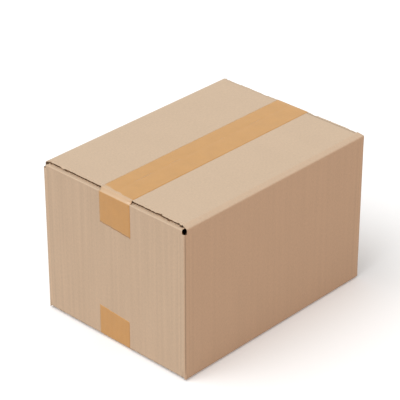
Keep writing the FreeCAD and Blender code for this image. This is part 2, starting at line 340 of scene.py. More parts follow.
# Where the middle of each wall lies along s
WALL_MIDDLES = {
    FAR_END: CUT_EDGE,
    NEAR_SIDE: RUN_STARTS[NEAR_SIDE] + SIDE_RUN / 2,
    NEAR_END: RUN_STARTS[NEAR_END] + END_RUN / 2,
    FAR_SIDE: RUN_STARTS[FAR_SIDE] + SIDE_RUN / 2,
}
END_WALLS = (FAR_END, NEAR_END)
CORNERS = [(RUN_ENDS[wall] + RUN_STARTS[wall + 1]) / 2 for wall in range(4)]
# On which side of each corner the long wall lies along s, where the score shows as a fine line
SCORED_SIDES = [1, -1, 1, -1]


def smooth(t):
    t = np.clip(t, 0, 1)
    return t * t * (3 - 2 * t)


def noise(s, v, size, seed):
    """Smooth random values from -1 to 1 over a plane, with bumps of about this size."""
    lattice = np.random.default_rng(seed).uniform(-1, 1, (64, 64))
    x = np.asarray(s, dtype=float) / size + 1000.0
    y = np.asarray(v, dtype=float) / size + 1000.0
    i = np.floor(x).astype(int)
    j = np.floor(y).astype(int)
    a = smooth(x - i)
    b = smooth(y - j)
    near = lattice[i % 64, j % 64] * (1 - a) + lattice[(i + 1) % 64, j % 64] * a
    far = lattice[i % 64, (j + 1) % 64] * (1 - a) + lattice[(i + 1) % 64, (j + 1) % 64] * a
    return near * (1 - b) + far * b


def away_from(place, marks, reach):
    """0 on any of the marks, rising to 1 at this distance from them."""
    nearest = np.min([np.abs(place - mark) for mark in marks], axis=0)
    return smooth(nearest / reach)


def flute_strength(s, v):
    """How clearly the flutes show through the liner, in their relief and in the painted shade of their
    streaks: most on the end walls, least on the flaps.
    """
    off_end_wall = np.min([np.abs(s - WALL_MIDDLES[wall]) for wall in END_WALLS], axis=0) > HALF_WIDTH
    in_flaps = smooth((np.abs(v) - END_CREASE) / FLAP_FADE)
    return np.where(off_end_wall, SIDE_WALL_FLUTES, 1.0) * (1 - (1 - FLAP_FLUTES) * in_flaps)


def near_groove(s, corner, place):
    """1 at this distance on both sides of an upright crease, falling to 0 away from there."""
    across = (np.abs(s - corner) - place) / CRUSH_WIDTH
    return np.exp(-across ** 2)


def near_score(s, corner, side):
    """1 on the fine score beside an upright crease, falling to 0 away from it."""
    across = (side * (s - corner) - SCORE_PLACE) / SCORE_WIDTH
    return np.exp(-across ** 2)


def inset(s, v):
    """How far the outer face lies inside the part's own face, which it never passes."""
    s, v = np.broadcast_arrays(np.asarray(s, dtype=float), np.asarray(v, dtype=float))
    off_corner = away_from(s, CORNERS, CREASE_FADE)
    off_crease = away_from(np.abs(v), [END_FLAP_FACE], 3 * CREASE_FADE)
    flutes = 0.5 - 0.5 * np.cos(2 * math.pi * s / FLUTE_PITCH)
    patchy = 0.6 + 0.4 * noise(s, v, FLUTE_PATCH, seed=11)
    relief = FLUTE_RELIEF * flutes * patchy * off_corner * flute_strength(s, v)
    off_end = np.clip(1 - (v / END_CREASE) ** 2, 0, 1)
    patchy = 0.55 + 0.45 * noise(s, v, BOW_PATCH, seed=5)
    bow = PANEL_BOW * patchy * away_from(s, CORNERS, BOW_REACH) * off_end
    dents = DENT_DEPTH * (1 + noise(s, v, DENT_SIZE, seed=31)) * off_corner * off_crease
    marks = np.zeros_like(s)
    for corner in CORNERS:
        for k, place in enumerate(CRUSH_PLACES):
            patchy = 0.65 + 0.35 * noise(s, v, CRUSH_PATCH, seed=20 + k)
            depth = CRUSH_DEPTH / (k + 1)
            marks = marks + depth * patchy * near_groove(s, corner, place)
    for corner, side in zip(CORNERS, SCORED_SIDES):
        marks = marks + SCORE_DEPTH * near_score(s, corner, side)
    in_wall = smooth((SLOT_LEVEL + CRUSH_END - np.abs(v)) / CRUSH_FADE)
    return relief + bow + marks * in_wall + dents


def shade(s, v):
    """Painted shade in the marks beside the upright creases, with a painted highlight on the ridges between
    them, as how much darker the face is.
    """
    dark = np.zeros(np.broadcast(s, v).shape)
    for corner, side in zip(CORNERS, SCORED_SIDES):
        dark = dark + SCORE_SHADE * near_score(s, corner, side)
        for places, amount in ((CRUSH_PLACES, CRUSH_SHADE), (RIDGE_PLACES, RIDGE_PAINTED_HIGHLIGHT)):
            for place in places:
                dark = dark + amount * near_groove(s, corner, place)
    return dark * smooth((SLOT_LEVEL + SHADE_END - np.abs(v)) / SHADE_FADE)


def fold_for(wall, upper):
    if wall in END_WALLS:
        return END_FOLD
    return TOP_FOLD if upper else BOTTOM_FOLD


def in_flap(s, v, wall):
    """Whether points of the blank lie on one of this wall's flaps."""
    from_middle = s - WALL_MIDDLES[wall]
    reach = np.where(from_middle > 0, flap_reach(wall, 1)[0], flap_reach(wall, -1)[0])
    return (np.abs(v) > SLOT_LEVEL + 1e-6) & (np.abs(from_middle) < reach + STUB_GAP / 2)


def fold_up(s, v, depth):
    """Where points of the blank lie once it is folded, this deep under its outer face."""
    s, v, depth = np.broadcast_arrays(*(np.asarray(a, dtype=float) for a in (s, v, depth)))
    sideways = np.copy(depth)
    height = np.copy(v)
    for wall in WALL_MIDDLES:
        in_wall = (s >= RUN_STARTS[wall] - 1e-9) & (s <= RUN_ENDS[wall] + 1e-9) | in_flap(s, v, wall)
        for upper in (True, False):
            here = in_wall & ((v > 0) if upper else (v <= 0))
            points, headings = fold_for(wall, upper).at(np.abs(v))
            sign = 1 if upper else -1
            in_folded = points[..., 0] + depth * np.cos(headings)
            up_folded = sign * (points[..., 1] - depth * np.sin(headings))
            sideways[here] = in_folded[here]
            height[here] = up_folded[here]
    points, headings = SLEEVE.at(s)
    # A flap is as straight as its wall, also where it reaches over the sleeve's rounded corner
    for wall, middle in WALL_MIDDLES.items():
        of_flap = in_flap(s, v, wall)
        middle_point, heading = SLEEVE.at(np.array(middle))
        along = np.array([math.sin(heading), math.cos(heading)])
        straight_points = middle_point + (s - middle)[..., None] * along
        points[of_flap] = straight_points[of_flap]
        headings[of_flap] = heading
    # Seen from above the sleeve sets off along -y, and inward is to the right of its heading
    x = HALF_LENGTH - points[..., 0] - sideways * np.cos(headings)
    y = CUT_EDGE - points[..., 1] + sideways * np.sin(headings)
    # Points deeper than a corner's centre would pass each other, so they stop at the walls' inner faces
    deep = (depth > CORNER_RADIUS) & (s <= RUN_ENDS[FAR_SIDE])
    inside_x = HALF_LENGTH - BOARD
    inside_y = HALF_WIDTH - BOARD
    x = np.where(deep, np.clip(x, -inside_x, inside_x), x)
    y = np.where(deep, np.clip(y, -inside_y, inside_y), y)
    return np.stack([x, y, height + MIDDLE_HEIGHT], axis=-1)


def stations(marks, step):
    """Places from the first mark to the last that hit each mark and are no further apart than step."""
    marks = sorted(set(round(mark, 7) for mark in marks))
    places = [marks[0]]
    for start, end in zip(marks, marks[1:]):
        count = max(1, math.ceil((end - start) / step - 1e-6))
        places += [start + (end - start) * k / count for k in range(1, count + 1)]
    return [round(place, 7) for place in places]


class Blank:
    """The cells of the blank, each between two stations along s and two along v."""

    def __init__(self):
        self.numbers = {}
        self.cells = []

    def corner(self, s, v):
        return self.numbers.setdefault((round(s, 6), round(v, 6)), len(self.numbers))

    def add(self, columns, rows):
        for s0, s1 in zip(columns, columns[1:]):
            for v0, v1 in zip(rows, rows[1:]):
                ring = [(s0, v0), (s0, v1), (s1, v1), (s1, v0)]
                self.cells.append([self.corner(s, v) for s, v in ring])

    def rim(self):
        """The edges that only one cell has, in that cell's direction."""
        edges = {}
        for cell in self.cells:
            for a, b in zip(cell, cell[1:] + cell[:1]):
                edges[(a, b)] = (b, a) not in edges
                if (b, a) in edges:
                    edges[(b, a)] = False
        return [edge for edge, single in edges.items() if single]


def flap_marks(wall, upper):
    """The lengths along v where a flap's bends and straight runs start, and where the flap ends."""
    fold = fold_for(wall, upper)
    return [start for start, _, _, _, _ in fold.starts[1:]] + [fold.length]


def flap_rows(wall, upper):
    """The rows of a flap, close together in its bends, and the length along v where it is level."""
    fold = fold_for(wall, upper)
    level = flap_marks(wall, upper)[-2]
    rows = [SLOT_LEVEL]
    for start, _, _, length, turn in fold.starts:
        if turn:
            rows += stations([start, start + length], min(BEND_ROW_STEP, length / 4))
        elif start < level:
            before = max(start + BEND_SUPPORT, SLOT_LEVEL)
            rows += stations([before, start + length - BEND_SUPPORT], CREASE_ROW_STEP)
    step = END_FLAP_ROW_STEP if wall in END_WALLS else FLAP_ROW_STEP
    rows += stations([level + BEND_SUPPORT, fold.length], step)
    return sorted(set(round(row, 7) for row in rows)), level


def add_flap(blank, wall, upper):
    """Add a flap's cells, up to its level part over its whole width, and from there without its ends."""
    sign = 1 if upper else -1
    rows, level = flap_rows(wall, upper)
    bent = [sign * row for row in rows if row <= level + 1e-7]
    flat = [sign * row for row in rows if row >= level - 1e-7]
    middle = WALL_MIDDLES[wall]
    for part, before, after in zip((bent, flat), flap_reach(wall, -1), flap_reach(wall, 1)):
        columns = [s for s in WALL_COLUMNS if middle - before - 1e-7 <= s <= middle + after + 1e-7]
        blank.add(columns, sorted(part))


def flap_reach(wall, side):
    """How far a flap reaches from its middle to one side: at its bend, and where it lies level."""
    if wall in END_WALLS:
        return HALF_WIDTH - BOARD - END_FLAP_GAP, HALF_WIDTH - SHOULDER_REACH
    setbacks = {
        (NEAR_SIDE, 1): NEAR_BEND_SETBACK,
        (NEAR_SIDE, -1): FAR_BEND_SETBACK,
        (FAR_SIDE, -1): LEFT_BEND_SETBACK,
        (FAR_SIDE, 1): FAR_BEND_SETBACK,
    }
    return HALF_LENGTH - setbacks[(wall, side)], HALF_LENGTH - SIDE_FLAP_SETBACK - EDGING_DEPTH


def stub_ends(wall):
    """Where the stub at the corner behind a wall starts and ends along s."""
    following = (wall + 1) % 4
    start = WALL_MIDDLES[wall] + flap_reach(wall, 1)[0] + STUB_GAP
    end = WALL_MIDDLES[following] - flap_reach(following, -1)[0] - STUB_GAP
    return start, end


def add_stubs(blank, wall):
    """Add the stubs above and below the corner behind a wall, where there is room for them."""
    start, end = stub_ends(wall)
    if end < start:
        return
    columns = [s for s in WALL_COLUMNS if start - 1e-6 <= s <= end + 1e-6]
    blank.add(columns, stations([SLOT_LEVEL, SLOT_LEVEL + TOP_STUB], BEND_ROW_STEP))
    blank.add(columns, stations([-SLOT_LEVEL - BOTTOM_STUB, -SLOT_LEVEL], BEND_ROW_STEP))


def wall_columns():
    """The places along s of all columns: at every end of a wall, flap or stub, and close in the marks."""
    marks = [0.0] + RUN_STARTS + RUN_ENDS
    for wall, middle in WALL_MIDDLES.items():
        for side in (-1, 1):
            marks += [middle + side * reach for reach in flap_reach(wall, side)]
        start, end = stub_ends(wall)
        if start < end:
            marks += [start, end]
    columns = stations(marks, COLUMN_STEP)
    bends = []
    for wall in WALL_MIDDLES:
        bends += stations([RUN_ENDS[wall], RUN_STARTS[wall + 1]], CORNER_RADIUS * SQUARE / CORNER_STEPS)
        bends += [CORNERS[wall] + side * place for side in (-1, 1) for place in SCORE_STATIONS]
    return sorted(set(round(place, 7) for place in columns + bends))


WALL_COLUMNS = wall_columns()


def new_object(name, verts, faces, uvs, materials, face_materials=None):
    """A mesh with one coordinate pair for each corner of each face."""
    mesh = bpy.data.meshes.new(name)
    mesh.from_pydata([tuple(vert) for vert in verts], [], [tuple(face) for face in faces])
    layer = mesh.uv_layers.new(name="blank")
    layer.data.foreach_set("uv", np.asarray(uvs, dtype=np.float32).ravel())
    for material in materials:
        mesh.materials.append(material)
    if face_materials is not None:
        mesh.polygons.foreach_set("material_index", np.asarray(face_materials, dtype=np.int32))
    mesh.polygons.foreach_set("use_smooth", np.ones(len(mesh.polygons), dtype=bool))
    mesh.update()
    piece = bpy.data.objects.new(name, mesh)
    bpy.context.scene.collection.objects.link(piece)
    return piece


def add_layer(piece, name, first, second, faces):
    """Another coordinate layer, which carries two amounts for each vertex to the material."""
    layer = piece.data.uv_layers.new(name=name)
    values = [(first[corner], second[corner]) for face in faces for corner in face]
    layer.data.foreach_set("uv", np.asarray(values, dtype=np.float32).ravel())


def inner_layer(s, v):
    """Where the inner liner lies on the blank, and how deep."""
    s = np.copy(s)
    v = np.copy(v)
    depth = np.full(s.shape, BOARD)
    on_slot = np.abs(v) > SLOT_LEVEL - 1e-6
    for wall in WALL_MIDDLES:
        on_slot &= ~in_flap(s, v, wall)
    on_slot &= np.min([np.abs(s - corner) for corner in CORNERS], axis=0) < SLOT_HALF_WIDTH
    v[on_slot] -= np.sign(v[on_slot]) * SLOT_LEAN
    for wall, middle in WALL_MIDDLES.items():
        of_flap = in_flap(s, v, wall)
        s[of_flap] = middle + (s[of_flap] - middle) * (1 - UNDERCUT / flap_reach(wall, 1)[0])
        for upper in (True, False):
            here = of_flap & ((v > 0) if upper else (v <= 0))
            depth[here] = np.minimum(BOARD, fold_for(wall, upper).room(np.abs(v[here])))
    return s, v, depth


def taper(s, v):
    """How far a top side flap's end moves along s, from its bend to where it is level."""
    moved = np.zeros(s.shape)
    level = flap_marks(NEAR_SIDE, True)[-2]
    along = smooth((v - TOP_BEND_START) / (level - TOP_BEND_START)) * (v < level + 1e-6)
    for wall in (NEAR_SIDE, FAR_SIDE):
        for side in (-1, 1):
            reach = flap_reach(wall, side)[0]
            step = max(0, reach - (HALF_LENGTH - SIDE_FLAP_SETBACK))
            from_middle = side * (s - WALL_MIDDLES[wall])
            here = in_flap(s, v, wall) & (from_middle > 0)
            near_end = smooth(1 - (reach - from_middle) / TAPER_REACH)
            moved += np.where(here, -side * step * along * near_end, 0)
    return moved


def build_carton(board, cut_edge_painted_shade):
    """The blank's outer and inner faces, folded up, with the cut edges between them."""
    blank = Blank()
    blank.add(WALL_COLUMNS, stations([-SLOT_LEVEL, SLOT_LEVEL], WALL_ROW_STEP))
    for wall in WALL_MIDDLES:
        for upper in (True, False):
            add_flap(blank, wall, upper)
    for wall in WALL_MIDDLES:
        add_stubs(blank, wall)
    marks = np.array(list(blank.numbers))
    s, v = marks[:, 0], marks[:, 1]
    s = s + taper(s, v)
    outer = fold_up(s, v, inset(s, v))
    inner = fold_up(*inner_layer(s, v))
    count = len(marks)
    faces = []
    kinds = []
    for cell in blank.cells:
        faces.append(cell)
        faces.append([count + corner for corner in reversed(cell)])
        kinds += [KRAFT_FACE, KRAFT_FACE]
    # Past the start of the top bends the cut edges are crushed shut, and show only the pale liner. Below
    # that they carry the dark painted shade of the slots and the holes at the corners.
    for a, b in blank.rim():
        faces.append([b, a, count + a, count + b])
        kinds.append(CUT_PAINTED_SHADE_FACE if np.abs(v[[a, b]]).min() < TOP_BEND_START else KRAFT_FACE)
    verts = np.concatenate([outer, inner])
    uvs = [tuple(marks[corner % count]) for face in faces for corner in face]
    carton = new_object("carton_board", verts, faces, uvs, [board, cut_edge_painted_shade], kinds)
    # The layer carries the painted shade of the crease marks, and how strongly the flutes show
    darkness = np.concatenate([shade(s, v), np.zeros(count)])
    add_layer(carton, "shade", darkness, np.tile(flute_strength(s, v), 2), faces)
    return carton


def edging_section():
    """The outline of a flap's cut end: how far in from the cut, and how deep. The middle is the flute."""
    outer_liner = [
        (EDGING_DEPTH, 0.0),
        (LIP_START, 0.0),
        (LIP_ROUND, 0.0),
        (0.0, LIP_SLOPE),
        (0.0, LINER - LIP_EDGE),
        (LIP_ROUND, LINER),
    ]
    flute = [
        (FLUTE_TURN, LINER + FLUTE_FLARE),
        (OPEN_FLUTE_DEPTH, BOARD / 2),
        (FLUTE_TURN, BOARD - LINER - FLUTE_FLARE),
    ]
    inner_liner = [
        (LIP_ROUND, BOARD - LINER),
        (0.0, BOARD - LINER + LIP_EDGE),
        (0.0, BOARD - LIP_EDGE),
        (LIP_ROUND, BOARD),
        (EDGING_DEPTH, BOARD),
    ]
    return outer_liner, flute, inner_liner


def tears(along, size, seed, above):
    """Separate tears along a line, each about this long, where a noise is above this value."""
    return np.clip(noise(along, 0, size, seed) - above, 0, 1)


def edging_wear(along, near, seed):
    """How far the outer and the inner liner are torn back, how far the outer one droops over the flute,
    and how far the flute is filled."""
    crushed = smooth(1 - (along - along[0]) / CRUSHED_REACH)
    outer_tear = BITE * near * tears(along, BITE_SIZE, seed, above=0.3)
    outer_tear += FRAY * (1 + noise(along, 0, FRAY_SIZE, seed + 1))
    inner_tear = INNER_TEAR + INNER_FRAY * noise(along, 0, INNER_FRAY_SIZE, seed + 2)
    droop = DROOP * tears(along, DROOP_SIZE, seed + 3, above=0.25) + CRUSHED_DROOP * near * crushed
    filling = FILLING * (tears(along, FILLING_SIZE, seed + 4, above=0.1) + crushed)
    return outer_tear, inner_tear, droop, np.minimum(filling, MOST_FILLING)


def edging_rows(wall, upper, side, seed):
    """The rows of points along a flap's cut end, from its outer face round the flute to its inner face."""
    fold = fold_for(wall, upper)
    along = np.array(stations([flap_marks(wall, upper)[-2], fold.length], EDGING_STEP))
    near = 1.0 if (side > 0) == (wall == NEAR_SIDE) else FAR_TEARS
    outer_tear, inner_tear, droop, filling = edging_wear(along, near, seed)
    outer_liner, flute, inner_liner = edging_section()
    rows = []
    for back, depth in outer_liner:
        lip = smooth(1 - back / LIP_REACH)
        rows.append((back + outer_tear * lip, depth, droop * lip))
    for back, depth in flute:
        rows.append((back - filling * smooth(back / OPEN_FLUTE_DEPTH), depth, 0.0))
    for back, depth in inner_liner:
        rows.append((back + inner_tear * smooth(1 - back / LIP_REACH), depth, 0.0))
    marks = []
    verts = []
    for back, depth, lower in rows:
        s = WALL_MIDDLES[wall] + side * (HALF_LENGTH - SIDE_FLAP_SETBACK - back)
        v = along if upper else -along
        marks.append(np.stack([s, v], axis=-1))
        verts.append(fold_up(s, v, depth + inset(s, v) * (1 - depth / BOARD) + lower))
    flute_faces = range(len(outer_liner) - 1, len(outer_liner) + len(flute))
    return np.array(verts), np.array(marks), flute_faces


def grid_faces(row_count, column_count):
    """The faces between rows of points, as numbers of their corners, row by row."""
    faces = []
    for i in range(row_count - 1):
        for j in range(column_count - 1):
            first = i * column_count + j
            faces.append([first, first + 1, first + column_count + 1, first + column_count])
    return faces


def build_edging(name, wall, upper, side, board, cut_edge_painted_shade, seed):
    """One cut end of a long flap: the two liners' torn edges, with the open flute between them painted dark
    as its shade.
    """
    verts, marks, flute_faces = edging_rows(wall, upper, side, seed)
    row_count, column_count = verts.shape[:2]
    verts = verts.reshape(-1, 3)
    marks = marks.reshape(-1, 2)
    faces = grid_faces(row_count, column_count)
    kinds = [CUT_PAINTED_SHADE_FACE if face[0] // column_count in flute_faces else KRAFT_FACE for face in faces]
    if (side > 0) == upper:
        faces = [face[::-1] for face in faces]
    uvs = [tuple(marks[corner]) for face in faces for corner in face]
    piece = new_object(name, verts, faces, uvs, [board, cut_edge_painted_shade], kinds)
    add_layer(piece, "shade", np.zeros(len(verts)), np.full(len(verts), FLAP_FLUTES), faces)
    return piece


# Where a tape turns over the end wall's bend, in section: the bend's centre, the flap's cut end that the
# tape bridges from, the angle at which it meets the bend, and the bridge's end there
BEND_CENTRE = np.array([HALF_LENGTH - END_BEND, END_FLAP_FACE - END_BEND])
FLAP_EDGE = np.array([HALF_LENGTH - SIDE_FLAP_SETBACK, HALF_HEIGHT])
TO_EDGE = FLAP_EDGE - BEND_CENTRE
WRAP = math.atan2(TO_EDGE[1], TO_EDGE[0]) - math.acos(END_BEND / np.linalg.norm(TO_EDGE))
BRIDGE_END = BEND_CENTRE + END_BEND * np.array([math.cos(WRAP), math.sin(WRAP)])
BRIDGE = BRIDGE_END - FLAP_EDGE


def tape_line(end_level):
    """A tape's line in section, from the box's middle down one end wall, with what each point lies on."""
    loose_start = FLAP_EDGE[0] - LOOSE_REACH
    places = stations([0.0, loose_start], TAPE_ROW_STEP)
    places += stations([loose_start, FLAP_EDGE[0]], LOOSE_STEP)[1:]
    line = [(x, HALF_HEIGHT, "flap") for x in places]
    for k in range(1, BRIDGE_STEPS):
        x, z = FLAP_EDGE + BRIDGE * k / BRIDGE_STEPS
        line.append((x, z, "bridge"))
    for k in range(WRAP_STEPS + 1):
        angle = WRAP * (1 - k / WRAP_STEPS)
        x, z = BEND_CENTRE + END_BEND * np.array([math.cos(angle), math.sin(angle)])
        line.append((x, z, "bend"))
    levels = stations([end_level, BEND_CENTRE[1]], TAPE_WALL_STEP)
    line += [(HALF_LENGTH, z, "wall") for z in levels[-2::-1]]
    return line


def tape_normal(x, z, kind):
    """Which way a tape faces at a point of its line."""
    if kind == "flap":
        return 0.0, 1.0
    if kind == "wall":
        return 1.0, 0.0
    if kind == "bend":
        return (np.array([x, z]) - BEND_CENTRE) / END_BEND
    along = BRIDGE / np.linalg.norm(BRIDGE)
    return -along[1], along[0]


def tape_inset(x, across, z, kind, sign):
    """How far the board under a tape lies inside the part's face."""
    if kind == "wall":
        s = WALL_MIDDLES[NEAR_END] + across if x < 0 else WALL_MIDDLES[FAR_END] - across
        return inset(s, sign * z)
    if kind == "flap":
        v = sign * (fold_for(NEAR_SIDE, sign > 0).length - np.abs(across))
        near = inset(WALL_MIDDLES[NEAR_SIDE] - x, v)
        far = inset(WALL_MIDDLES[FAR_SIDE] + x, v)
        return np.where(across < 0, near, far) + SEAM_DIP * np.exp(-(across / SEAM_DIP_WIDTH) ** 2)
    return np.zeros_like(across)


class Tape:
    """A strip of tape that follows the board under it and bridges from the flaps' cut ends to the walls."""

    def __init__(self, low, high, upper, seed):
        self.sign = 1 if upper else -1
        self.seed = seed
        self.end_level = self.sign * (low.z if upper else high.z) - self.sign * MIDDLE_HEIGHT
        self.line = tape_line(self.end_level)
        self.across = np.array(stations([low.y + TAPE_MARGIN, high.y - TAPE_MARGIN], TAPE_COLUMN_STEP))
        # Each column's place across the tape, from 0 at its -y edge to 1
        self.share = (self.across - self.across[0]) / (self.across[-1] - self.across[0])

    def noise(self, size, offset):
        """Random values across the tape."""
        return noise(self.across, 0, size, self.seed + offset)

    def half_looseness_and_highlight(self):
        """How pale the tape is painted at each point, from the box's middle over one end: where it is
        loose, and as a painted highlight where it turns over the bend.
        """
        free_reach = LOOSE_REACH * (0.5 + 0.5 * self.share) * (0.75 + 0.25 * self.noise(LOOSE_PATCH, 7))
        rows = []
        for x, z, kind in self.line:
            if kind == "flap":
                rows.append(smooth(1 - (FLAP_EDGE[0] - x - free_reach) / LOOSE_FADE))
            elif kind == "bridge":
                rows.append(np.ones_like(self.across))
            # On the bend the paleness is a painted highlight
            elif kind == "bend":
                rows.append(np.full_like(self.across, smooth((z - BEND_CENTRE[1]) / END_BEND)))
            else:
                rows.append(np.zeros_like(self.across))
        return np.array(rows)

    def looseness_and_highlight(self):
        """How pale the tape is painted at each point, for its looseness and the painted highlight on the
        bends, from the near end to the far end, where it is tighter.
        """
        half = self.half_looseness_and_highlight()
        return np.concatenate([half[::-1], half[1:] * FAR_LOOSENESS_AND_HIGHLIGHT])

    def sag(self, z):
        """How far the bridge hangs in at this height."""
        from_edge = np.minimum(self.across - self.across[0], self.across[-1] - self.across)
        edge_sag = TAPE_MIDDLE_SAG + (1 - TAPE_MIDDLE_SAG) * smooth(1 - from_edge / TAPE_SAG_WIDTH)
        return TAPE_SAG * edge_sag * math.sin(math.pi * (FLAP_EDGE[1] - z) / -BRIDGE[1])

    def row(self, end, x, z, kind):
        """The points across the tape at one place of its line, over the -x end (-1) or the +x end (1)."""
        lift = TAPE_LIFT - tape_inset(end * x, self.across, z, kind, self.sign)
        if kind == "bridge":
            lift = lift - self.sag(z)
        raised = 0.0
        if kind == "wall":
            frays = TAPE_FRAY * (1 + self.noise(TAPE_FRAY_SIZE, end))
            slant = self.sign * END_SLANT * (SLANT_PIVOT - self.share)
            raised = (frays - slant) * smooth(1 - (z - self.end_level) / END_FADE)
        out_x, out_z = tape_normal(x, z, kind)
        px = end * (x + out_x * lift)
        pz = MIDDLE_HEIGHT + self.sign * (z + out_z * lift + raised)
        return np.stack([px, self.across, pz], axis=-1)

    def strip(self):
        """All rows, from the tape's end on the -x wall to its end on the +x wall."""
        near, far = ([self.row(end, *point) for point in self.line] for end in (-1, 1))
        return np.array(near[::-1] + far[1:])


def build_tape(name, low, high, upper, film, seed):
    """A thin film with the tape's shape, and a layer that says where it is loose and where a painted
    highlight lies on the bend.
    """
    tape = Tape(low, high, upper, seed)
    strip = tape.strip()
    steps = np.linalg.norm(strip[1:, 0] - strip[:-1, 0], axis=-1)
    marks = [(length, y) for length in np.cumsum([0, *steps]) for y in tape.across]
    faces = grid_faces(*strip.shape[:2])
    if upper:
        faces = [face[::-1] for face in faces]
    uvs = [marks[corner] for face in faces for corner in face]
    piece = new_object(name, strip.reshape(-1, 3), faces, uvs, [film])
    loose = tape.looseness_and_highlight().ravel()
    add_layer(piece, "loose", loose, np.zeros_like(loose), faces)
    solidify = piece.modifiers.new("film", "SOLIDIFY")
    solidify.thickness = TAPE_FILM
    solidify.offset = -1
    return piece


# Materials

def new_material(name):
    material = bpy.data.materials.new(name)
    material.use_nodes = True
    nodes = material.node_tree.nodes
    nodes.clear()
    output = nodes.new("ShaderNodeOutputMaterial")
    shader = nodes.new("ShaderNodeBsdfPrincipled")
    material.node_tree.links.new(shader.outputs["BSDF"], output.inputs["Surface"])
    return material, shader


class Nodes:
    """Short ways to add and join shader nodes."""

    def __init__(self, material):
        self.tree = material.node_tree

    def add(self, kind, **settings):
        node = self.tree.nodes.new(kind)
        for key, value in settings.items():
            setattr(node, key, value)
        return node

    def join(self, source, target):
        self.tree.links.new(source, target)

    def blank(self, scale):
        """The place on the blank, in metres, stretched by this much along s and v."""
        uv = self.add("ShaderNodeUVMap", uv_map="blank")
        mapping = self.add("ShaderNodeMapping")
        mapping.inputs["Scale"].default_value = (scale[0], scale[1], 1)
        self.join(uv.outputs["UV"], mapping.inputs["Vector"])
        return mapping.outputs["Vector"]

    def part(self, layer, axis):
        """One number of a coordinate layer."""
        uv = self.add("ShaderNodeUVMap", uv_map=layer)
        split = self.add("ShaderNodeSeparateXYZ")
        self.join(uv.outputs["UV"], split.inputs["Vector"])
        return split.outputs[axis]

    def noise(self, scale, detail=2.0, roughness=0.5):
        """A noise with this many bumps to the metre along s and v."""
        texture = self.add("ShaderNodeTexNoise")
        texture.inputs["Scale"].default_value = 1.0
        texture.inputs["Detail"].default_value = detail
        texture.inputs["Roughness"].default_value = roughness
        self.join(self.blank(scale), texture.inputs["Vector"])
        return texture.outputs["Fac"]

    def fit(self, value, low, high, to_low, to_high):
        node = self.add("ShaderNodeMapRange")
        for name, number in (
            ("From Min", low), ("From Max", high), ("To Min", to_low), ("To Max", to_high)
        ):
            node.inputs[name].default_value = number
        self.join(value, node.inputs["Value"])
        return node.outputs["Result"]

    def around(self, value, middle, reach):
        """A noise's value, stretched to lie mostly between middle - reach and middle + reach."""
        return self.fit(value, 0.3, 0.7, middle - reach, middle + reach)

    def math(self, operation, first, second):
        node = self.add("ShaderNodeMath", operation=operation)
        for socket, value in zip(node.inputs, (first, second)):
            if isinstance(value, (int, float)):
                socket.default_value = value
            else:
                self.join(value, socket)
        return node.outputs["Value"]

    def tint(self, colour, factor):
        """The colour times a factor that varies over the face."""
        node = self.add("ShaderNodeVectorMath", operation="SCALE")
        node.inputs[0].default_value = colour[:3]
        self.join(factor, node.inputs["Scale"])
        return node.outputs["Vector"]

    def bump(self, height, distance, strength):
        node = self.add("ShaderNodeBump")
        node.inputs["Strength"].default_value = strength
        node.inputs["Distance"].default_value = distance
        self.join(height, node.inputs["Height"])
        return node.outputs["Normal"]


KRAFT = (0.665, 0.509, 0.366)
# A cut edge's darker brown, darkened much further as painted shade for the open flutes and the holes at the
# corners
CUT_KRAFT_PAINTED_SHADE = (0.18, 0.11, 0.062)
TAPE = (0.618, 0.321, 0.092)
# The paler colour of loose tape, also used as a painted highlight where the tape turns over the bend
LOOSE_TAPE_AND_HIGHLIGHT = (0.65, 0.44, 0.26)
# How strongly each kind of marks varies the tone, either way
FIBRE_TONE = 0.035
SPECK_TONE = 0.025
# Painted shade of the flutes' relief, in streaks
FLUTE_SHADE_TONE = 0.04
MOTTLE_TONE = 0.01
CLOUD_TONE = 0.03
FINE_TONE = 0.02


def kraft_material():
    material, shader = new_material("kraft_board")
    nodes = Nodes(material)
    fibres = nodes.noise((900, 260), detail=3.0)
    specks = nodes.noise((420, 420), detail=2.0)
    mottle = nodes.noise((28, 20), detail=3.0)
    streaks = nodes.noise((190, 4), detail=1.5)
    fibre_tone = nodes.around(fibres, 1, FIBRE_TONE)
    fine_tone = nodes.math("MULTIPLY", fibre_tone, nodes.around(specks, 1, SPECK_TONE))
    # Streaks of painted shade that stand in for the shading of the flutes' relief, clearest on the end
    # walls
    painted_flute_shade = nodes.math("MULTIPLY", nodes.around(streaks, 0, FLUTE_SHADE_TONE), nodes.part("shade", "Y"))
    broad_tone = nodes.math("ADD", 1.0, nodes.math("ADD", painted_flute_shade, nodes.around(mottle, 0, MOTTLE_TONE)))
    # Painted shade in the marks beside the upright creases, and a painted highlight on the ridges between
    # them
    crease_painted_shade = nodes.math("SUBTRACT", 1.0, nodes.part("shade", "X"))
    tone = nodes.math("MULTIPLY", nodes.math("MULTIPLY", fine_tone, broad_tone), crease_painted_shade)
    nodes.join(nodes.tint(KRAFT, tone), shader.inputs["Base Color"])
    shader.inputs["Roughness"].default_value = 0.9
    shader.inputs["Specular IOR Level"].default_value = 0.2
    nodes.join(nodes.bump(fibres, 0.05 * MM, 0.5), shader.inputs["Normal"])
    return material


# The cut edges' brown, mostly painted shade
def cut_painted_shade_material():
    material, shader = new_material("cut_board_painted_shade")
    nodes = Nodes(material)
    fibres = nodes.noise((700, 700), detail=3.0)
    nodes.join(nodes.tint(CUT_KRAFT_PAINTED_SHADE, nodes.fit(fibres, 0.3, 0.7, 0.8, 1.1)), shader.inputs["Base Color"])
    shader.inputs["Roughness"].default_value = 0.95
    shader.inputs["Specular IOR Level"].default_value = 0.1
    return material


